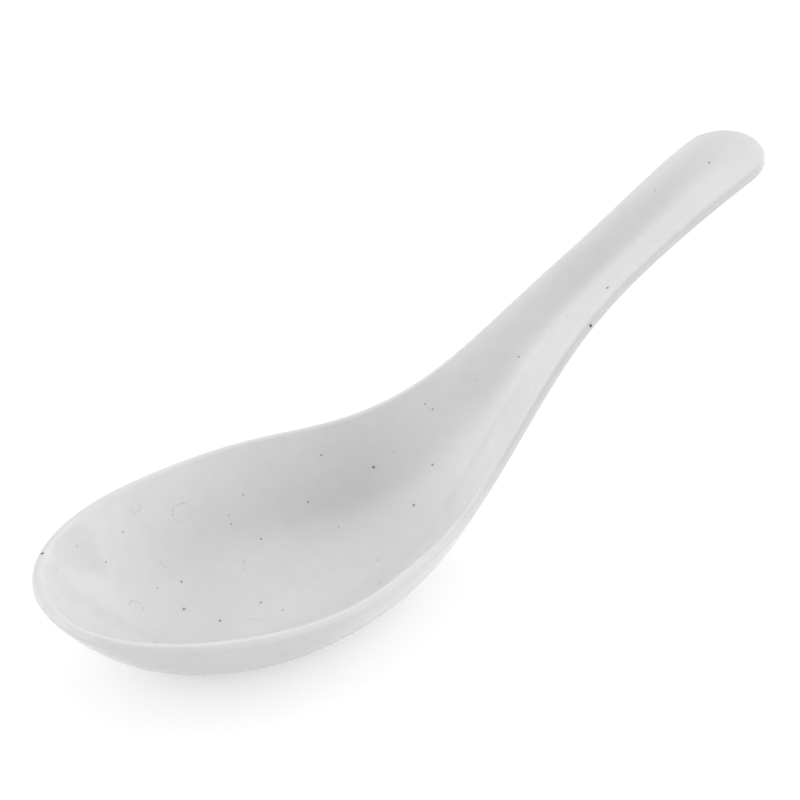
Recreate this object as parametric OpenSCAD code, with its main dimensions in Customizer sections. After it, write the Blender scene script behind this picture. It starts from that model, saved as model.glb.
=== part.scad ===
// Chinese soup spoon in glazed stoneware: an egg-shaped bowl on a flat oval foot, a neck that
// lifts out of the bowl, and a rising handle with a shallow channel along its top.
// Millimetres. The origin is on the foot, under the widest part of the bowl.
// +X runs from the bowl to the handle, +Y across the bowl, +Z up.

/* [Overall] */
// Length over all seen from above, from the toe of the bowl to the end of the handle
spoon_length = 140; // [128:1:152]
// Height of the rim's centre above the table at the end of the handle
handle_height = 59; // [50:0.5:66]

/* [Bowl] */
// Width over all across the rim at the widest point
bowl_width = 47.8; // [42:0.2:54]
// Distance from the widest point forward to the rim's centre at the toe
toe_reach = 37.6; // [32:0.2:42]
// Bluntness of the toe seen from above, where 2 is an ellipse and more is squarer
toe_blunt = 2.15; // [1.9:0.05:2.5]
// Depth inside the bowl, from the rim's centre to the floor at the widest point
bowl_depth = 11.5; // [9:0.1:14]
// Height of the rim's centre above the table at the toe
toe_height = 17; // [14:0.1:19]
// Shape of the side walls, where 2 is an even curve and more is a flatter floor and a steeper wall
wall_curve = 3.55; // [2.4:0.05:4.4]
// Shape of the wall at the toe, on the same scale
toe_curve = 3.35; // [2.2:0.05:4]

/* [Handle] */
// Width over all at the handle's waist
handle_width = 14.6; // [11:0.1:19]
// Width over all where the handle's rounded end begins
end_width = 15.8; // [12:0.1:21]
// Length of the handle's rounded end
end_round = 6.3; // [5:0.1:9]
// Shape of the channel across the handle, where 2 is an even curve and less is nearer to a V
channel_curve = 2.05; // [1.6:0.05:2.6]
// Roll of the handle's edges, where 0 leaves them as steep as the channel and 1 turns them level
edge_roll = 0.8; // [0:0.05:1]

/* [Wall] */
// Thickness of the rim, which is fully rounded
rim_thick = 1.8; // [1.4:0.1:2.6]
// Thickness of the bowl's floor along its middle, before the foot is ground
floor_thick = 4.6; // [3.6:0.1:5.4]
// Thickness of the handle along its middle
handle_thick = 2.9; // [2.4:0.1:4]
// Depth ground off the round underside to make the flat foot
foot_cut = 1.2; // [0.8:0.1:1.6]
// Thickness of the glaze all over, apart from the bare foot
glaze_thick = 0.25; // [0.15:0.05:0.4]

/* [Hidden] */

// Rim points round the toe, along one side and round the handle's end, points from the spine to
// the rim, and points over the rounded rim
toe_steps = 16;
side_steps = 28;
end_steps = 10;
rib_steps = 8;
round_steps = 4;

// Half widths to the rim's centre
half_bowl = (bowl_width - rim_thick) / 2;
half_handle = (handle_width - rim_thick) / 2;
half_end = (end_width - rim_thick) / 2;

// The rim's centre at the handle's end, and the start of the rounded end
tail_x = spoon_length - rim_thick - toe_reach;
end_x = tail_x - end_round;

// The rim's height and the wall's drop to the middle of the floor, both at the widest point
side_height = bowl_depth + floor_thick - foot_cut;
side_drop = bowl_depth + floor_thick / 2;

// Stations along the spine, as shares of the way from the widest point to the rounded end
place = [0, 0.15, 0.3, 0.45, 0.6, 0.8, 1];
// Share of the bowl's extra width that is left at each station, before the rounded end
width_left = [1, 0.87, 0.595, 0.28, 0.07, 0];
// Share of the climb to the handle's end that the rim has made at each station and at the end
climb = [0, 0.015, 0.05, 0.21, 0.47, 0.74, 0.95, 1];
// Share of the bowl's drop from the rim to the spine at each station
drop = [1, 1.04, 0.93, 0.69, 0.35, 0.25, 0.145];
// A station on the way to the toe, and the rim's share of the climb to the toe there
brow = [0.55, 0.54];

// Cubic spline through points: the slopes, natural at an end whose slope is undef
function gap(x, i) = x[i + 1] - x[i];
function grade(x, y, i) = (y[i + 1] - y[i]) / gap(x, i);
function inner_row(x, y, i) = [
  gap(x, i),
  2 * (gap(x, i - 1) + gap(x, i)),
  gap(x, i - 1),
  3 * (gap(x, i) * grade(x, y, i - 1) + gap(x, i - 1) * grade(x, y, i))
];
function spline_rows(x, y, first, last) = let (n = len(x) - 1) [
  is_undef(first) ? [0, 2, 1, 3 * grade(x, y, 0)] : [0, 1, 0, first],
  for (i = [1 : n - 1]) inner_row(x, y, i),
  is_undef(last) ? [1, 2, 0, 3 * grade(x, y, n - 1)] : [0, 1, 0, last]
];
function sweep(rows, i = 0, c = 0, d = 0) = i == len(rows) ? [] : let (
  row = rows[i],
  pivot = row[1] - row[0] * c,
  c_next = row[2] / pivot,
  d_next = (row[3] - row[0] * d) / pivot
) concat([[c_next, d_next]], sweep(rows, i + 1, c_next, d_next));
function solve_back(cd, i, next) = i < 0 ? [] : let (
  here = cd[i][1] - cd[i][0] * next
) concat(solve_back(cd, i - 1, here), [here]);
function slopes(x, y, first = undef, last = undef) = let (
  cd = sweep(spline_rows(x, y, first, last))
) solve_back(cd, len(cd) - 1, 0);

// The spline's value and slope at a place
function span(x, at, i = 0) = (i >= len(x) - 2 || at < x[i + 1]) ? i : span(x, at, i + 1);
function curve(x, y, m, at) = let (
  i = span(x, at),
  h = gap(x, i),
  u = (at - x[i]) / h,
  v = 1 - u
) y[i] * (1 + 2 * u) * v * v + y[i + 1] * u * u * (3 - 2 * u) + h * u * v * (m[i] * v - m[i + 1] * u);
function curve_slope(x, y, m, at) = let (
  i = span(x, at),
  u = (at - x[i]) / gap(x, i)
) 6 * u * (1 - u) * grade(x, y, i) + m[i] * (1 - u) * (1 - 3 * u) + m[i + 1] * u * (3 * u - 2);

function ease(u) = let (c = min(1, max(0, u))) c * c * (3 - 2 * c);
function unit(v) = v / norm(v);
function flip_y(p) = [p[0], -p[1], p[2]];

// Curves of the spoon: half width, height of the rim and height of the spine
station_x = end_x * place;
half_width = [
  for (share = width_left) half_handle + (half_bowl - half_handle) * share,
  half_end
];
width_slopes = slopes(station_x, half_width, 0, 0);
rim_x = concat([-toe_reach, -toe_reach * brow[0]], station_x, [tail_x]);
rim_z = concat(
  [toe_height, side_height + (toe_height - side_height) * brow[1]],
  [for (share = climb) side_height + (handle_height - side_height) * share]
);
rim_slopes = slopes(rim_x, rim_z);
spine_z = [for (i = [0 : len(place) - 1]) rim_z[i + 2] - side_drop * drop[i]];
spine_slopes = slopes(station_x, spine_z, 0);

// The rim seen from above, from the toe along one side to the end of the handle
rim_plan = concat(
  [for (i = [0 : toe_steps - 1]) let (a = 90 * i / toe_steps)
    [-toe_reach * cos(a), half_bowl * pow(sin(a), 2 / toe_blunt)]],
  [for (i = [0 : side_steps - 1]) let (x = end_x * i / side_steps)
    [x, curve(station_x, half_width, width_slopes, x)]],
  [for (i = [0 : end_steps]) let (a = 90 * i / end_steps)
    [end_x + end_round * sin(a), i == end_steps ? 0 : half_end * cos(a)]]
);
rim_last = len(rim_plan) - 1;

// One rib of the wall's middle surface per rim point:
// spine point, rim point, shape of the curve between them, middle thickness, slope of the spine,
// roll of the edge
ribs = [for (i = [0 : rim_last]) let (
  p = rim_plan[i],
  x = min(end_x, max(0, p[0])),
  along = x / end_x,
  side_curve = wall_curve + (channel_curve - wall_curve) * ease((along - 0.3) / 0.25)
) [
  [x, 0, curve(station_x, spine_z, spine_slopes, x)],
  [p[0], p[1], curve(rim_x, rim_z, rim_slopes, p[0])],
  i < toe_steps ? toe_curve + (wall_curve - toe_curve) * pow(p[1] / half_bowl, 2) : side_curve,
  floor_thick + (handle_thick - floor_thick) * ease((along - 0.05) / 0.52),
  curve_slope(station_x, spine_z, spine_slopes, x),
  edge_roll * ease((along - 0.15) / 0.45)
]];

// The middle surface on a rib at a share of the way out, and its direction outwards along the rib.
// A rib that leaves the spine's end sets off at the spine's slope.
function tilt(r) = r[4] * (r[1][0] - r[0][0]);
function roll(r) = r[5] * r[2] / 2;
function lift(r, share) = pow(share, r[2]) * (1 + roll(r) * (1 - share * share));
function lift_slope(r, share) = pow(share, r[2] - 1)
  * (r[2] + roll(r) * (r[2] - (r[2] + 2) * share * share));
function middle(i, share) = let (r = ribs[i], reach = r[1] - r[0]) [
  r[0][0] + reach[0] * share,
  reach[1] * share,
  r[0][2] + tilt(r) * share + (reach[2] - tilt(r)) * lift(r, share)
];
function outwards(i, share) = let (r = ribs[i], reach = r[1] - r[0])
  [reach[0], reach[1], tilt(r) + (reach[2] - tilt(r)) * lift_slope(r, share)];
function onwards(i, share) = i == 0 ? middle(1, share) - flip_y(middle(1, share))
  : i == rim_last ? flip_y(middle(i - 1, share)) - middle(i - 1, share)
  : middle(i + 1, share) - middle(i - 1, share);
function upwards(i, share) = unit(share == 0 ? [-ribs[i][4], 0, 1]
  : cross(onwards(i, share), outwards(i, share)));

// Half the wall's thickness, which falls from the middle of the floor to the rim
function half_wall(i, share) = (rim_thick + (ribs[i][3] - rim_thick) * (1 - share * share)) / 2;
function share_at(step) = pow(step / rib_steps, 0.8);

// A point of the skin on a rib, above (side 1) or below (side -1) the middle surface, and a point
// on the rounded rim at an angle from the top side, both moved into the wall by inset
function skin(i, step, side, inset) = let (share = share_at(step))
  middle(i, share) + side * (half_wall(i, share) - inset) * upwards(i, share);
function over_rim(i, angle, inset) =
  middle(i, 1) + (rim_thick / 2 - inset) * (cos(angle) * upwards(i, 1) + sin(angle) * unit(outwards(i, 1)));

// One strip of the skin: out along the underside, over the rim and back along the top
function strip(i, inset) = concat(
  [for (step = [1 : rib_steps]) skin(i, step, -1, inset)],
  [for (n = [round_steps : -1 : 1]) over_rim(i, 180 * n / (round_steps + 1), inset)],
  [for (step = [rib_steps : -1 : 1]) skin(i, step, 1, inset)]
);
strip_size = 2 * rib_steps + round_steps;

// The closed skin: spine points below, spine points above, then one strip after another round the rim
loop_size = 2 * rim_last;
spine_size = side_steps + 1;
skin_size = 2 * spine_size + loop_size * strip_size;
function spine_of(j) = min(side_steps, max(0, (j <= rim_last ? j : loop_size - j) - toe_steps));
function at(j, n) = 2 * spine_size + (j % loop_size) * strip_size + n;
function skin_points(inset) = let (half = [for (i = [0 : rim_last]) strip(i, inset)]) concat(
  [for (s = [0 : side_steps]) skin(toe_steps + s, 0, -1, inset)],
  [for (s = [0 : side_steps]) skin(toe_steps + s, 0, 1, inset)],
  [for (i = [0 : rim_last]) each half[i]],
  [for (i = [rim_last - 1 : -1 : 1]) each [for (p = half[i]) flip_y(p)]]
);

// Four corners as two triangles, split so that both sides of the spoon mirror each other
function quad(a, b, c, d, turn) = turn ? [[a, b, c], [a, c, d]] : [[a, b, d], [b, c, d]];
function strip_faces(j) = [for (n = [0 : strip_size - 2])
  each quad(at(j, n), at(j + 1, n), at(j + 1, n + 1), at(j, n + 1), j < rim_last)];
function spine_faces(j, first, n, under) = let (
  s = first + spine_of(j % loop_size),
  t = first + spine_of((j + 1) % loop_size),
  a = at(j, n),
  b = at(j + 1, n),
  faces = s == t ? [[a, b, s]] : quad(a, b, t, s, j < rim_last)
) under ? [for (f = faces) [f[2], f[1], f[0]]] : faces;
skin_faces = [for (j = [0 : loop_size - 1]) each concat(
  spine_faces(j, 0, 0, true),
  strip_faces(j),
  spine_faces(j, spine_size, strip_size - 1, false)
)];

// The glaze is the outer skin joined to the clay's skin by a short tunnel under the foot, which is
// ground away with the foot
tunnel = skin_faces[0];
function shifted(f) = [f[2] + skin_size, f[1] + skin_size, f[0] + skin_size];
glaze_faces = concat(
  [for (n = [1 : len(skin_faces) - 1]) skin_faces[n]],
  [for (n = [1 : len(skin_faces) - 1]) shifted(skin_faces[n])],
  [for (n = [0 : 2]) let (a = tunnel[n], b = tunnel[(n + 1) % 3])
    each [[a, b, b + skin_size], [a, b + skin_size, a + skin_size]]]
);

// Grinds the underside flat at the table
module ground_flat() {
  difference() {
    children();
    translate([-toe_reach, -half_bowl, -floor_thick])
      cube([spoon_length, 2 * half_bowl, floor_thick]);
  }
}

// The fired clay: bowl, neck and handle pressed in one piece, bare only on the foot
module clay_body() {
  color([0.86, 0.82, 0.76])
    ground_flat()
      polyhedron(points = skin_points(glaze_thick), faces = skin_faces, convexity = 6);
}

// The white glaze, fused to the clay as one even skin that stops at the edge of the foot
module glaze_coat() {
  color([0.93, 0.93, 0.92])
    ground_flat()
      polyhedron(
        points = concat(skin_points(0), skin_points(glaze_thick)),
        faces = glaze_faces,
        convexity = 8
      );
}

clay_body();
glaze_coat();
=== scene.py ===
"""Chinese soup spoon in white glazed stoneware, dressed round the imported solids.

The clay and the glaze are drawn again from the measures of the part's source, in the same frame,
with finer strips, so that the gloss runs evenly over the bowl, the neck and the rolled rim.
"""

import math

import bmesh
import bpy
import numpy as np
from mathutils import Matrix, Vector
from mathutils.bvhtree import BVHTree


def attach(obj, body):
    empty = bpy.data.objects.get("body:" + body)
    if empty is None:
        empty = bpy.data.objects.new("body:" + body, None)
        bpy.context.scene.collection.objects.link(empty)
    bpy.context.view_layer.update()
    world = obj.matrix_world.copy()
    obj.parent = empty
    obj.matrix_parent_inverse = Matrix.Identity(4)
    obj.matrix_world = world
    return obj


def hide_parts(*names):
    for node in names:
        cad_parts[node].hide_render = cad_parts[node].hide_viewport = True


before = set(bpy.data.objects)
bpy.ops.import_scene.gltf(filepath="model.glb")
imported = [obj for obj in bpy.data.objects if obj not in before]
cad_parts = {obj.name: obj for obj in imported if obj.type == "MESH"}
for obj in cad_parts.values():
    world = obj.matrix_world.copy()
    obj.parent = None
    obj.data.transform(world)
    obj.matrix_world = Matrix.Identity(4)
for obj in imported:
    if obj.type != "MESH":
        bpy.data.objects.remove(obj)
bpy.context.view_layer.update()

MM = 0.001

# The spoon's measures in millimetres, as the part's source has them
SPOON_LENGTH = 140.0
HANDLE_HEIGHT = 59.0
BOWL_WIDTH = 47.8
TOE_REACH = 37.6
TOE_BLUNT = 2.15
BOWL_DEPTH = 11.5
TOE_HEIGHT = 17.0
WALL_CURVE = 3.55
TOE_CURVE = 3.35
HANDLE_WIDTH = 14.6
END_WIDTH = 15.8
END_ROUND = 6.3
CHANNEL_CURVE = 2.05
EDGE_ROLL = 0.8
RIM_THICK = 1.8
FLOOR_THICK = 4.6
HANDLE_THICK = 2.9
FOOT_CUT = 1.2
GLAZE_THICK = 0.25

# Stations along the spine, and what is left of the width, climbed and dropped at each
PLACE = np.array([0, 0.15, 0.3, 0.45, 0.6, 0.8, 1])
WIDTH_LEFT = np.array([1, 0.87, 0.595, 0.28, 0.07, 0])
CLIMB = np.array([0, 0.015, 0.05, 0.21, 0.47, 0.74, 0.95, 1])
DROP = np.array([1, 1.04, 0.93, 0.69, 0.35, 0.25, 0.145])
# A station on the way to the toe, and the rim's share of the climb to the toe there
BROW = (0.55, 0.54)
# Shares of the spine: where the wall turns into the channel, thins and rolls its edge, and how
# long each change takes
CHANNEL_FROM, CHANNEL_OVER = 0.3, 0.25
THIN_FROM, THIN_OVER = 0.05, 0.52
ROLL_FROM, ROLL_OVER = 0.15, 0.45

# Strips round the toe, along a side and round the handle's end, points along and over a strip, and
# how the points along it crowd towards the rim, where 1 is evenly spaced
TOE_STEPS, SIDE_STEPS, END_STEPS = 24, 56, 14
RIB_STEPS, ROUND_STEPS = 14, 6
RIB_CROWDING = 0.8
# How many times finer than the clay the glaze's outside is
GLAZE_FINENESS = 2
# Points closer than this, in metres, are one
WELD = 1e-8
MIRROR = np.array([1, -1, 1])

# Where the eye stands: the photograph's viewing angle, in degrees and millimetres
EYE_AZIMUTH, EYE_ELEVATION, EYE_ROLL = -38.497, 34.329, 3.292
EYE_DISTANCE = 308.216
EYE_TARGET = (26.615, 0.072, 31.53)
FOCAL_PIXELS = 1897.683
IMAGE_SIZE = 800
SENSOR = 36.0
# How near and how far it sees, in metres
EYE_NEAR, EYE_FAR = 0.01, 20

# Iron specks as the photograph shows them: pixel across, pixel down, width in millimetres
DARK_SPECKS = (
    (41.5, 553.0, 0.58), (181.0, 581.3, 0.33), (183.4, 608.5, 0.43), (219.3, 620.2, 0.37),
    (320.8, 454.7, 0.29), (373.2, 466.7, 0.40), (413.2, 504.6, 0.39), (431.9, 464.3, 0.32),
    (590.3, 325.2, 0.57), (607.0, 287.2, 0.42),
)
SUNK_SPECKS = (
    (105.3, 561.8, 0.42), (230.8, 523.3, 0.42), (260.1, 602.2, 0.54), (260.5, 538.4, 0.52),
    (282.2, 609.3, 0.46), (307.6, 501.5, 0.48), (424.6, 403.4, 0.36), (428.2, 407.6, 0.24),
    (432.2, 408.6, 0.38), (518.1, 356.2, 0.40), (708.8, 162.1, 0.49),
)
FAINT_SPECKS = (
    (56.5, 568.9, 0.36), (76.6, 546.0, 0.50), (122.4, 531.3, 0.58), (154.4, 641.6, 0.64),
    (157.0, 587.4, 0.45), (228.7, 514.5, 0.48), (242.5, 494.1, 0.54), (338.3, 526.6, 0.44),
    (377.9, 559.5, 0.54), (380.2, 582.8, 0.54), (393.8, 451.2, 0.36), (475.6, 378.4, 0.34),
    (506.3, 448.3, 0.36), (566.7, 315.6, 0.46), (654.6, 189.7, 0.42),
)
# How far each kind stands proud of the glaze, in millimetres
DARK_PROUD, SUNK_PROUD, FAINT_PROUD = 0.012, 0.010, 0.007
# A dark speck bleeds into the glaze around it: the stain's width against the speck's
STAIN_SPREAD = 2.0
# A speck's outline: its corners, and how far they stray from a circle
SPECK_CORNERS, SPECK_RAGGED = 9, 0.22
# Its edge lies under the glaze and its crown above: shares of the width, the edge's depth and the
# speck's own in millimetres, and the crown's share of the height
EDGE_SHARE, CROWN_SHARE = 1.05, 0.85
EDGE_DEPTH, SPECK_DEPTH = 0.008, 0.05
CROWN_RISE = 0.6

# Specks on the sides that the photograph doesn't show: how many of each kind, and their widths
UNSEEN_DARK, UNSEEN_SUNK, UNSEEN_FAINT = 6, 8, 8
UNSEEN_WIDTHS = (0.2, 0.42)
SPECK_SEED = 11
# The search for their places, in metres: how far off it starts, what it aims at along, across and
# up, and how high over the table a place has to be
SEARCH_FROM = 0.2
SEARCH_AT = ((-0.03, 0.095), (-0.012, 0.012), (0.002, 0.05))
SEARCH_ABOVE = 0.0008
# The most that such a place faces up, where 1 is straight up
SEARCH_FACING = 0.1

# Healed bubbles: pixel across, pixel down, width in millimetres, degrees where the ring starts and
# how far it runs on
GLAZE_RINGS = (
    (135, 507, 1.8, 190, 210), (182, 512, 3.4, 70, 220), (165, 562, 1.7, 180, 140),
    (136, 606, 2.3, -10, 200), (232, 563, 4.2, -35, 65), (256, 613, 3.5, 235, 70),
)
RING_WIDTH = 0.36
# The section of a ring: shares of its width across, and heights in millimetres
RING_SECTION = ((-0.5, -0.004), (0, 0.006), (0.5, -0.004), (0, -0.03))
# Degrees from one section to the next, the fewest steps, and how far a ring strays from a circle
RING_STEP, RING_LEAST, RING_WOBBLE = 15, 6, 0.1

# The room's light: soft glows by azimuth, elevation, strength and how fast they fade
ROOM_GLOWS = (
    (0, 8, 1.18, 5), (45, 8, 1.36, 5), (90, 8, 0.8, 5), (225, 8, 0.4, 5), (270, 8, 1.86, 5),
    (90, 26, 0.51, 8), (225, 26, 1.06, 8), (270, 26, 0.24, 8),
    (60, 45, 0.31, 3), (120, 45, 0.85, 3), (180, 45, 0.64, 3),
    (210, 4, 1.07, 30),
)

# The floor's paper: its grey, and what the eye and the gloss see on top of that
PAPER_GREY = 0.72
PAPER_LIFT = 0.42
# How far it reaches and how far under the foot it lies, in metres, and its squares along a side
FLOOR_REACH, FLOOR_GAP = 4.0, 0.05 * MM
FLOOR_SQUARES = 8

# Sockets of a Mix node, which the names alone don't tell apart
MIX_SHARE, MIX_VALUE_A, MIX_VALUE_B, MIX_COLOR_A, MIX_COLOR_B = 0, 2, 3, 6, 7
MIXED_VALUE, MIXED_COLOR = 0, 2
# Clouds in a fired surface: how much of them is fine, and the noise where they start to turn from
# one colour to the other and where they have turned
FINE_SHARE = 0.4
CLOUD_LOW, CLOUD_HIGH = 0.3, 0.7


# The spoon's curves

def slopes(x, y, first=None, last=None):
    """Slopes of the cubic spline through points, natural at an end that has no slope given."""
    gap = np.diff(x)
    grade = np.diff(y) / gap
    rows = np.zeros((len(x), len(x)))
    sums = np.zeros(len(x))
    for i in range(1, len(x) - 1):
        rows[i, i - 1 : i + 2] = gap[i], 2 * (gap[i - 1] + gap[i]), gap[i - 1]
        sums[i] = 3 * (gap[i] * grade[i - 1] + gap[i - 1] * grade[i])
    if first is None:
        rows[0, :2], sums[0] = (2, 1), 3 * grade[0]
    else:
        rows[0, 0], sums[0] = 1, first
    if last is None:
        rows[-1, -2:], sums[-1] = (1, 2), 3 * grade[-1]
    else:
        rows[-1, -1], sums[-1] = 1, last
    return np.linalg.solve(rows, sums)


def curve(x, y, m, at):
    """The spline's height and slope at some places."""
    i = np.clip(np.searchsorted(x, at, side="right") - 1, 0, len(x) - 2)
    h = x[i + 1] - x[i]
    u = (at - x[i]) / h
    v = 1 - u
    height = y[i] * (1 + 2 * u) * v * v + y[i + 1] * u * u * (3 - 2 * u)
    height = height + h * u * v * (m[i] * v - m[i + 1] * u)
    slope = 6 * u * v * (y[i + 1] - y[i]) / h + m[i] * v * (1 - 3 * u) + m[i + 1] * u * (3 * u - 2)
    return height, slope


def ease(u):
    """A soft step from 0 to 1."""
    c = np.clip(u, 0, 1)
    return c * c * (3 - 2 * c)


def unit(v):
    """Vectors brought to length 1."""
    return v / np.linalg.norm(v, axis=-1, keepdims=True)


def towards(azimuth, elevation):
    """The direction of a bearing, where 0 is in front of the spoon's near side."""
    a, e = math.radians(azimuth), math.radians(elevation)
    return Vector((math.sin(a) * math.cos(e), -math.cos(a) * math.cos(e), math.sin(e)))


half_bowl = (BOWL_WIDTH - RIM_THICK) / 2
half_handle = (HANDLE_WIDTH - RIM_THICK) / 2
half_end = (END_WIDTH - RIM_THICK) / 2
tail_x = SPOON_LENGTH - RIM_THICK - TOE_REACH
end_x = tail_x - END_ROUND
side_height = BOWL_DEPTH + FLOOR_THICK - FOOT_CUT
side_drop = BOWL_DEPTH + FLOOR_THICK / 2

station_x = end_x * PLACE
half_width = np.append(half_handle + (half_bowl - half_handle) * WIDTH_LEFT, half_end)
width_slopes = slopes(station_x, half_width, 0, 0)
rim_x = np.concatenate([[-TOE_REACH, -TOE_REACH * BROW[0]], station_x, [tail_x]])
rim_z = np.concatenate([
    [TOE_HEIGHT, side_height + (TOE_HEIGHT - side_height) * BROW[1]],
    side_height + (HANDLE_HEIGHT - side_height) * CLIMB,
])
rim_slopes = slopes(rim_x, rim_z)
# The spine runs from the first station to the last, without the toe, the brow and the tail
spine_z = rim_z[2:-1] - side_drop * DROP
spine_slopes = slopes(station_x, spine_z, 0)


# The skins

def skin_strips(inset, fineness):
    """Strips of the spoon's skin on its +Y side, moved into the wall by inset: each runs from the
    spine on top out to the rim, over it, and back below to the spine."""
    toe, side, end = (n * fineness for n in (TOE_STEPS, SIDE_STEPS, END_STEPS))
    turn = np.linspace(0, math.pi / 2, toe, endpoint=False)
    run = np.linspace(0, end_x, side, endpoint=False)
    bend = np.linspace(0, math.pi / 2, end + 1)
    rim_at = np.concatenate([-TOE_REACH * np.cos(turn), run, end_x + END_ROUND * np.sin(bend)])
    rim_out = np.concatenate([
        half_bowl * np.sin(turn) ** (2 / TOE_BLUNT),
        curve(station_x, half_width, width_slopes, run)[0],
        half_end * np.cos(bend),
    ])
    rim_out[-1] = 0
    spine_at = np.clip(rim_at, 0, end_x)
    along = spine_at / end_x
    rim_up = curve(rim_x, rim_z, rim_slopes, rim_at)[0]
    spine_up, spine_slope = curve(station_x, spine_z, spine_slopes, spine_at)

    # How the wall curves and how thick it is on each strip
    channelled = ease((along - CHANNEL_FROM) / CHANNEL_OVER)
    thinned = ease((along - THIN_FROM) / THIN_OVER)
    rolled = ease((along - ROLL_FROM) / ROLL_OVER)
    power = WALL_CURVE + (CHANNEL_CURVE - WALL_CURVE) * channelled
    power[:toe] = TOE_CURVE + (WALL_CURVE - TOE_CURVE) * (rim_out[:toe] / half_bowl) ** 2
    core = FLOOR_THICK + (HANDLE_THICK - FLOOR_THICK) * thinned
    reach = rim_at - spine_at
    tilt = spine_slope * reach
    rise = rim_up - spine_up - tilt

    # The middle of the wall, and the way that it faces
    share = np.linspace(0, 1, RIB_STEPS * fineness + 1) ** RIB_CROWDING
    power = power[:, None]
    roll = (EDGE_ROLL * rolled)[:, None] * power / 2
    lift = share**power * (1 + roll * (1 - share**2))
    lift_slope = share ** (power - 1) * (power + roll * (power - (power + 2) * share**2))
    one = np.ones_like(share)
    middle = np.stack([
        spine_at[:, None] + reach[:, None] * share,
        rim_out[:, None] * share,
        spine_up[:, None] + tilt[:, None] * share + rise[:, None] * lift,
    ], -1)
    outwards = np.stack([
        reach[:, None] * one,
        rim_out[:, None] * one,
        tilt[:, None] + rise[:, None] * lift_slope,
    ], -1)
    padded = np.concatenate([middle[1:2] * MIRROR, middle, middle[-2:-1] * MIRROR])
    upwards = np.cross(padded[2:] - padded[:-2], outwards)
    level, plumb = np.zeros_like(spine_slope), np.ones_like(spine_slope)
    upwards[:, 0] = np.stack([-spine_slope, level, plumb], -1)
    upwards = unit(upwards)

    # The skin on both sides of it, and round the rim
    half_wall = (RIM_THICK + (core[:, None] - RIM_THICK) * (1 - share**2)) / 2 - inset
    above = middle + half_wall[..., None] * upwards
    below = middle - half_wall[..., None] * upwards
    turned = np.linspace(0, math.pi, ROUND_STEPS * fineness + 2)[1:-1, None]
    over = np.cos(turned) * upwards[:, None, -1] + np.sin(turned) * unit(outwards[:, None, -1])
    over = middle[:, None, -1] + (RIM_THICK / 2 - inset) * over
    return np.concatenate([above, over, below[:, ::-1]], 1)


def add_skin(mesh, inset, fineness):
    """Adds the skin of both sides to a mesh, as it is before its foot is ground."""
    half = skin_strips(inset, fineness)
    loop = np.concatenate([half, half[-2:0:-1] * MIRROR]) * MM
    verts = [[mesh.verts.new(p) for p in strip] for strip in loop]
    for j, strip in enumerate(verts):
        onward = verts[(j + 1) % len(verts)]
        for n in range(len(strip) - 1):
            corners = (strip[n], onward[n], onward[n + 1], strip[n + 1])
            mesh.faces.new(corners).smooth = True
    bmesh.ops.remove_doubles(mesh, verts=[v for strip in verts for v in strip], dist=WELD)
    bmesh.ops.dissolve_degenerate(mesh, edges=mesh.edges[:], dist=WELD)


def grind_foot(mesh):
    """Cuts the mesh off at the table and closes the cut with a flat face."""
    everything = mesh.verts[:] + mesh.edges[:] + mesh.faces[:]
    bmesh.ops.bisect_plane(
        mesh, geom=everything, dist=WELD, plane_co=(0, 0, 0), plane_no=(0, 0, 1), clear_inner=True
    )
    rim = [e for e in mesh.edges if e.is_boundary]
    for e in rim:
        e.smooth = False
    made = bmesh.ops.triangle_fill(mesh, edges=rim, use_beauty=True, normal=(0, 0, -1))
    for face in made["geom"]:
        if isinstance(face, bmesh.types.BMFace):
            face.smooth = False
    bmesh.ops.recalc_face_normals(mesh, faces=mesh.faces[:])


def piece(name, mesh, finish):
    """Makes a mesh into a named object in its finish."""
    data = bpy.data.meshes.new(name)
    mesh.to_mesh(data)
    mesh.free()
    data.materials.append(finish)
    made = bpy.data.objects.new(name, data)
    bpy.context.scene.collection.objects.link(made)
    return made


# Finishes

def nodes_of(material):
    """A material's node tree and its shader."""
    material.use_nodes = True
    tree = material.node_tree
    return tree, tree.nodes["Principled BSDF"]


def put(tree, kind, **values):
    """Adds a node, with values for its sockets or its settings."""
    node = tree.nodes.new(kind)
    for key, value in values.items():
        if key in node.inputs:
            node.inputs[key].default_value = value
        else:
            setattr(node, key, value)
    return node


def group(name, inputs, outputs):
    """An empty shader node group with named sockets, and its two ends."""
    tree = bpy.data.node_groups.new(name, "ShaderNodeTree")
    for label, kind, value in inputs:
        socket = tree.interface.new_socket(label, in_out="INPUT", socket_type=kind)
        if value is not None:
            socket.default_value = value
    for label, kind in outputs:
        tree.interface.new_socket(label, in_out="OUTPUT", socket_type=kind)
    return tree, tree.nodes.new("NodeGroupInput"), tree.nodes.new("NodeGroupOutput")


def place(tree, made, **values):
    """Places a node group in a material, with its own values."""
    node = tree.nodes.new("ShaderNodeGroup")
    node.node_tree = made
    for key, value in values.items():
        node.inputs[key.replace("_", " ")].default_value = value
    return node


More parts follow.
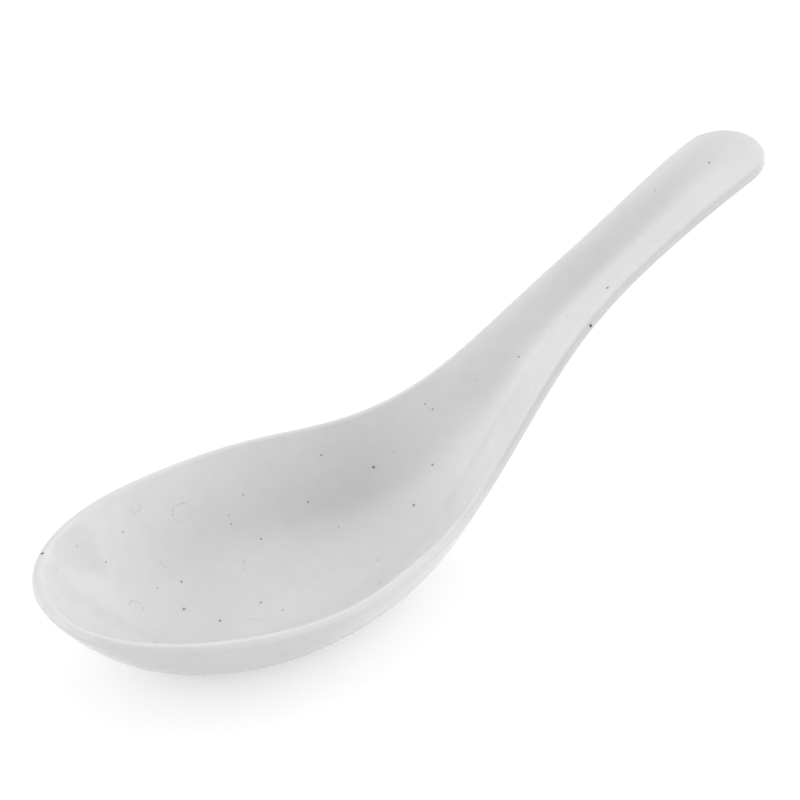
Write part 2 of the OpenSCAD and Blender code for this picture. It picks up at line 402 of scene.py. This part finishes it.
def cloud_group():
    """Uneven firing: broad clouds with finer ones in them, as a mix of two colours."""
    tree, start, stop = group(
        "firing_clouds",
        [("Vector", "NodeSocketVector", None), ("Broad", "NodeSocketFloat", 60.0),
         ("Fine", "NodeSocketFloat", 400.0), ("Low", "NodeSocketColor", None),
         ("High", "NodeSocketColor", None)],
        [("Color", "NodeSocketColor"), ("Value", "NodeSocketFloat")],
    )
    link = tree.links.new
    broad = put(tree, "ShaderNodeTexNoise", Detail=2.0, Roughness=0.5)
    fine = put(tree, "ShaderNodeTexNoise", Detail=3.0, Roughness=0.55)
    blend = put(tree, "ShaderNodeMix", data_type="FLOAT")
    blend.inputs[MIX_SHARE].default_value = FINE_SHARE
    spread = put(tree, "ShaderNodeMapRange", interpolation_type="SMOOTHSTEP")
    spread.inputs["From Min"].default_value = CLOUD_LOW
    spread.inputs["From Max"].default_value = CLOUD_HIGH
    mix = put(tree, "ShaderNodeMix", data_type="RGBA")
    for noise, scale in ((broad, "Broad"), (fine, "Fine")):
        link(start.outputs["Vector"], noise.inputs["Vector"])
        link(start.outputs[scale], noise.inputs["Scale"])
    link(broad.outputs[0], blend.inputs[MIX_VALUE_A])
    link(fine.outputs[0], blend.inputs[MIX_VALUE_B])
    link(blend.outputs[MIXED_VALUE], spread.inputs["Value"])
    link(spread.outputs[0], mix.inputs[MIX_SHARE])
    link(start.outputs["Low"], mix.inputs[MIX_COLOR_A])
    link(start.outputs["High"], mix.inputs[MIX_COLOR_B])
    link(mix.outputs[MIXED_COLOR], stop.inputs["Color"])
    link(spread.outputs[0], stop.inputs["Value"])
    return tree


def pit_group():
    """Grit and pinholes: small round spots scattered over the surface, and a ripple under them."""
    tree, start, stop = group(
        "pits_and_ripple",
        [("Vector", "NodeSocketVector", None), ("Pits", "NodeSocketFloat", 900.0),
         ("Pit Size", "NodeSocketFloat", 0.2), ("Ripple", "NodeSocketFloat", 500.0),
         ("Ripple Height", "NodeSocketFloat", 0.5)],
        [("Pit", "NodeSocketFloat"), ("Height", "NodeSocketFloat")],
    )
    link = tree.links.new
    cells = put(tree, "ShaderNodeTexVoronoi", feature="F1")
    ripple = put(tree, "ShaderNodeTexNoise", Detail=2.0, Roughness=0.5)
    near = put(tree, "ShaderNodeMapRange", interpolation_type="SMOOTHSTEP")
    near.inputs["To Min"].default_value = 1.0
    near.inputs["To Max"].default_value = 0.0
    raised = put(tree, "ShaderNodeMath", operation="MULTIPLY")
    height = put(tree, "ShaderNodeMath", operation="SUBTRACT")
    for texture, scale in ((cells, "Pits"), (ripple, "Ripple")):
        link(start.outputs["Vector"], texture.inputs["Vector"])
        link(start.outputs[scale], texture.inputs["Scale"])
    link(cells.outputs["Distance"], near.inputs["Value"])
    link(start.outputs["Pit Size"], near.inputs["From Max"])
    link(ripple.outputs[0], raised.inputs[0])
    link(start.outputs["Ripple Height"], raised.inputs[1])
    link(raised.outputs[0], height.inputs[0])
    link(near.outputs[0], height.inputs[1])
    link(near.outputs[0], stop.inputs["Pit"])
    link(height.outputs[0], stop.inputs["Height"])
    return tree


firing_clouds = cloud_group()
pits_and_ripple = pit_group()


def fired(name, low, high, grit, broad, fine, pits, pit_size, ripple, ripple_height, gloss, relief):
    """A fired surface: cloudy colour, roughness that follows it, and pinholes or grit in it."""
    material = bpy.data.materials.new(name)
    tree, shader = nodes_of(material)
    link = tree.links.new
    here = tree.nodes.new("ShaderNodeTexCoord")
    clouds = place(tree, firing_clouds, Broad=broad, Fine=fine, Low=(*low, 1), High=(*high, 1))
    spots = place(tree, pits_and_ripple, Pits=pits, Pit_Size=pit_size, Ripple=ripple,
                  Ripple_Height=ripple_height)
    tone = put(tree, "ShaderNodeMix", data_type="RGBA")
    tone.inputs[MIX_COLOR_B].default_value = (*grit, 1)
    sheen = put(tree, "ShaderNodeMapRange")
    sheen.inputs["To Min"].default_value, sheen.inputs["To Max"].default_value = gloss
    bump = put(tree, "ShaderNodeBump", Strength=1.0, Distance=relief)
    link(here.outputs["Object"], clouds.inputs["Vector"])
    link(here.outputs["Object"], spots.inputs["Vector"])
    link(spots.outputs["Pit"], tone.inputs[MIX_SHARE])
    link(clouds.outputs["Color"], tone.inputs[MIX_COLOR_A])
    link(tone.outputs[MIXED_COLOR], shader.inputs["Base Color"])
    link(clouds.outputs["Value"], sheen.inputs["Value"])
    link(sheen.outputs[0], shader.inputs["Roughness"])
    link(spots.outputs["Height"], bump.inputs["Height"])
    link(bump.outputs["Normal"], shader.inputs["Normal"])
    return material


def speck_finish(name, low, high, grit, gloss):
    """Iron in the glaze, dark where it is bare and paler the deeper it lies."""
    return fired(
        name, low, high, grit, broad=140.0, fine=3000.0, pits=4000.0, pit_size=0.2,
        ripple=4000.0, ripple_height=0.5, gloss=gloss, relief=1e-5,
    )


white_glaze = fired(
    "white_glaze", low=(0.665, 0.665, 0.665), high=(0.71, 0.71, 0.71), grit=(0.66, 0.66, 0.655),
    broad=55.0, fine=420.0, pits=420.0, pit_size=0.06, ripple=260.0, ripple_height=0.5,
    gloss=(0.1, 0.16), relief=8e-6,
)
bare_clay = fired(
    "bare_clay", low=(0.50, 0.43, 0.35), high=(0.62, 0.55, 0.46), grit=(0.38, 0.30, 0.22),
    broad=120.0, fine=900.0, pits=1500.0, pit_size=0.25, ripple=2600.0, ripple_height=1.0,
    gloss=(0.72, 0.88), relief=6e-5,
)
iron_speck = speck_finish(
    "iron_speck", low=(0.06, 0.045, 0.04), high=(0.14, 0.115, 0.10), grit=(0.03, 0.025, 0.02),
    gloss=(0.2, 0.35),
)
sunk_speck = speck_finish(
    "sunk_speck", low=(0.34, 0.33, 0.32), high=(0.44, 0.43, 0.42), grit=(0.28, 0.27, 0.26),
    gloss=(0.12, 0.2),
)
faint_speck = speck_finish(
    "faint_speck", low=(0.50, 0.495, 0.49), high=(0.59, 0.585, 0.58), grit=(0.46, 0.455, 0.45),
    gloss=(0.12, 0.18),
)

# The eye, which also places the specks and the rings
eye_roll = math.radians(EYE_ROLL)
eye_back = towards(EYE_AZIMUTH, EYE_ELEVATION)
sideways = towards(EYE_AZIMUTH + 90, 0)
eye_right = math.cos(eye_roll) * sideways + math.sin(eye_roll) * eye_back.cross(sideways)
eye_up = eye_back.cross(eye_right)
eye_at = Vector(EYE_TARGET) + EYE_DISTANCE * eye_back
lens = bpy.data.cameras.new("eye")
lens.sensor_width = SENSOR
lens.lens = FOCAL_PIXELS * SENSOR / IMAGE_SIZE
lens.clip_start, lens.clip_end = EYE_NEAR, EYE_FAR
eye = bpy.data.objects.new("eye", lens)
eye_turn = Matrix((eye_right, eye_up, eye_back)).transposed()
eye.matrix_world = Matrix.Translation(eye_at * MM) @ eye_turn.to_4x4()
bpy.context.scene.collection.objects.link(eye)
bpy.context.scene.camera = eye

# The clay, bare on its foot, and the glaze that covers the rest of it
mesh = bmesh.new()
add_skin(mesh, GLAZE_THICK, 1)
grind_foot(mesh)
clay = piece("clay_core", mesh, bare_clay)

mesh = bmesh.new()
add_skin(mesh, 0.0, GLAZE_FINENESS)
surface = BVHTree.FromBMesh(mesh)
add_skin(mesh, GLAZE_THICK, 1)
grind_foot(mesh)
glaze = piece("glaze_skin", mesh, white_glaze)

for made, node, slot in ((clay, "clay_body", "bare_clay"), (glaze, "glaze_coat", "white_glaze")):
    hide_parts(node)
    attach(made, "root")


# Iron specks

def on_glaze(near, height):
    """The place on the glaze nearest to a point, raised by a height in millimetres."""
    at, up = surface.find_nearest(near)[:2]
    return at + up * height * MM


def seen_at(across, down):
    """Where the eye's line through a pixel meets the glaze, and the way the glaze faces there."""
    over = (across + 0.5 - IMAGE_SIZE / 2) / FOCAL_PIXELS
    up = (IMAGE_SIZE / 2 - down - 0.5) / FOCAL_PIXELS
    line = over * eye_right + up * eye_up - eye_back
    return surface.ray_cast(eye_at * MM, line.normalized())[:2]


def seen_specks(spots):
    """Places, facings and widths of specks that are given by pixel."""
    return [(*seen_at(across, down), width) for across, down, width in spots]


def unseen_specks(rng):
    """Specks scattered over the sides that the eye doesn't see."""
    found = []
    while len(found) < UNSEEN_DARK + UNSEEN_SUNK + UNSEEN_FAINT:
        start = SEARCH_FROM * Vector(rng.normal(size=3)).normalized()
        aim = Vector([rng.uniform(*span) for span in SEARCH_AT])
        at, facing = surface.ray_cast(start, (aim - start).normalized())[:2]
        if at is None or at.z <= SEARCH_ABOVE or facing.z >= SEARCH_FACING:
            continue
        if facing.dot(eye_at * MM - at) < 0:
            found.append((at, facing, rng.uniform(*UNSEEN_WIDTHS)))
    return found


def add_speck(mesh, at, facing, width, proud, rng):
    """Adds a closed flat lens with a ragged edge, which follows the glaze and lies in it."""
    side = facing.orthogonal().normalized()
    other = facing.cross(side)
    ragged = width / 2 * (1 + SPECK_RAGGED * (2 * rng.random(SPECK_CORNERS) - 1))

    def ring(share, height):
        """The outline's corners at a share of its width, raised off the glaze by a height."""
        made = []
        for n in range(SPECK_CORNERS):
            turn = 2 * math.pi * n / SPECK_CORNERS
            out = float(ragged[n]) * share * MM
            near = at + out * (math.cos(turn) * side + math.sin(turn) * other)
            made.append(mesh.verts.new(on_glaze(near, height)))
        return made

    edge = ring(EDGE_SHARE, -EDGE_DEPTH)
    crown = ring(CROWN_SHARE, CROWN_RISE * proud)
    top = mesh.verts.new(at + facing * proud * MM)
    under = mesh.verts.new(at - facing * SPECK_DEPTH * MM)
    for n in range(SPECK_CORNERS):
        m = (n + 1) % SPECK_CORNERS
        mesh.faces.new((crown[n], crown[m], top)).smooth = True
        mesh.faces.new((edge[n], edge[m], crown[m], crown[n])).smooth = True
        mesh.faces.new((edge[m], edge[n], under)).smooth = True


rng = np.random.default_rng(SPECK_SEED)
unseen = unseen_specks(rng)
dark = seen_specks(DARK_SPECKS) + unseen[:UNSEEN_DARK]
sunk = seen_specks(SUNK_SPECKS) + unseen[UNSEEN_DARK : UNSEEN_DARK + UNSEEN_SUNK]
stains = [(at, facing, STAIN_SPREAD * width) for at, facing, width in dark]
faint = seen_specks(FAINT_SPECKS) + unseen[UNSEEN_DARK + UNSEEN_SUNK :] + stains
for name, finish, spots, proud in (
    ("dark_specks", iron_speck, dark, DARK_PROUD),
    ("sunk_specks", sunk_speck, sunk, SUNK_PROUD),
    ("faint_specks", faint_speck, faint, FAINT_PROUD),
):
    mesh = bmesh.new()
    for at, facing, width in spots:
        add_speck(mesh, at, facing, width, proud, rng)
    bmesh.ops.recalc_face_normals(mesh, faces=mesh.faces[:])
    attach(piece(name, mesh, finish), "root")


# Rings that bubbles left as they healed in the kiln

def add_ring(mesh, at, facing, width, start, sweep):
    """Adds a low bead that follows the glaze along part of a circle, turned as the eye sees it."""
    side = (eye_right - facing * eye_right.dot(facing)).normalized()
    other = facing.cross(side)
    steps = max(RING_LEAST, round(abs(sweep) / RING_STEP))
    beads = []
    for n in range(steps + 1):
        turn = math.radians(start + sweep * n / steps)
        out = math.cos(turn) * side + math.sin(turn) * other
        radius = width / 2 * (1 + RING_WOBBLE * math.sin(2 * turn + start))
        bead = []
        for away, height in RING_SECTION:
            near = at + (radius + away * RING_WIDTH) * MM * out
            bead.append(mesh.verts.new(on_glaze(near, height)))
        beads.append(bead)
    corners = len(RING_SECTION)
    for bead, onward in zip(beads, beads[1:]):
        for n in range(corners):
            m = (n + 1) % corners
            mesh.faces.new((bead[n], bead[m], onward[m], onward[n])).smooth = True
    mesh.faces.new(beads[0])
    mesh.faces.new(beads[-1])


mesh = bmesh.new()
for across, down, width, start, sweep in GLAZE_RINGS:
    add_ring(mesh, *seen_at(across, down), width, start, sweep)
bmesh.ops.recalc_face_normals(mesh, faces=mesh.faces[:])
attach(piece("glaze_rings", mesh, white_glaze), "root")

# The floor: white paper, which the eye and the gloss see a little lighter than the room lights it
white_paper = bpy.data.materials.new("white_paper")
tree, shader = nodes_of(white_paper)
link = tree.links.new
shader.inputs["Base Color"].default_value = (PAPER_GREY, PAPER_GREY, PAPER_GREY, 1)
shader.inputs["Roughness"].default_value = 0.9
shader.inputs["Specular IOR Level"].default_value = 0.2
shader.inputs["Emission Color"].default_value = (1, 1, 1, 1)
rays = tree.nodes.new("ShaderNodeLightPath")
looked_at = put(tree, "ShaderNodeMath", operation="MAXIMUM")
through = put(tree, "ShaderNodeMath", operation="MAXIMUM")
extra = put(tree, "ShaderNodeMath", operation="MULTIPLY")
extra.inputs[1].default_value = PAPER_LIFT
link(rays.outputs["Is Camera Ray"], looked_at.inputs[0])
link(rays.outputs["Is Glossy Ray"], looked_at.inputs[1])
link(looked_at.outputs[0], through.inputs[0])
link(rays.outputs["Is Transmission Ray"], through.inputs[1])
link(through.outputs[0], extra.inputs[0])
link(extra.outputs[0], shader.inputs["Emission Strength"])
mesh = bmesh.new()
bmesh.ops.create_grid(mesh, x_segments=FLOOR_SQUARES, y_segments=FLOOR_SQUARES, size=FLOOR_REACH)
floor = piece("floor_paper", mesh, white_paper)
floor.location.z = -FLOOR_GAP

# The room: soft glows all round that fade into each other
world = bpy.data.worlds.new("soft_room")
bpy.context.scene.world = world
world.use_nodes = True
tree = world.node_tree
link = tree.links.new
sky = tree.nodes["Background"]
sky.inputs["Color"].default_value = (1, 1, 1, 1)
sight = tree.nodes.new("ShaderNodeTexCoord")
total = None
for azimuth, elevation, strength, quickness in ROOM_GLOWS:
    facing = put(tree, "ShaderNodeVectorMath", operation="DOT_PRODUCT")
    facing.inputs[1].default_value = towards(azimuth, elevation)
    ahead = put(tree, "ShaderNodeMath", operation="MAXIMUM")
    ahead.inputs[1].default_value = 0.0
    fade = put(tree, "ShaderNodeMath", operation="POWER")
    fade.inputs[1].default_value = quickness
    add = put(tree, "ShaderNodeMath", operation="MULTIPLY_ADD")
    add.inputs[1].default_value = strength
    add.inputs[2].default_value = 0.0
    link(sight.outputs["Generated"], facing.inputs[0])
    link(facing.outputs["Value"], ahead.inputs[0])
    link(ahead.outputs[0], fade.inputs[0])
    link(fade.outputs[0], add.inputs[0])
    if total is not None:
        link(total.outputs[0], add.inputs[2])
    total = add
link(total.outputs[0], sky.inputs["Strength"])

bpy.context.scene.view_settings.view_transform = "Standard"
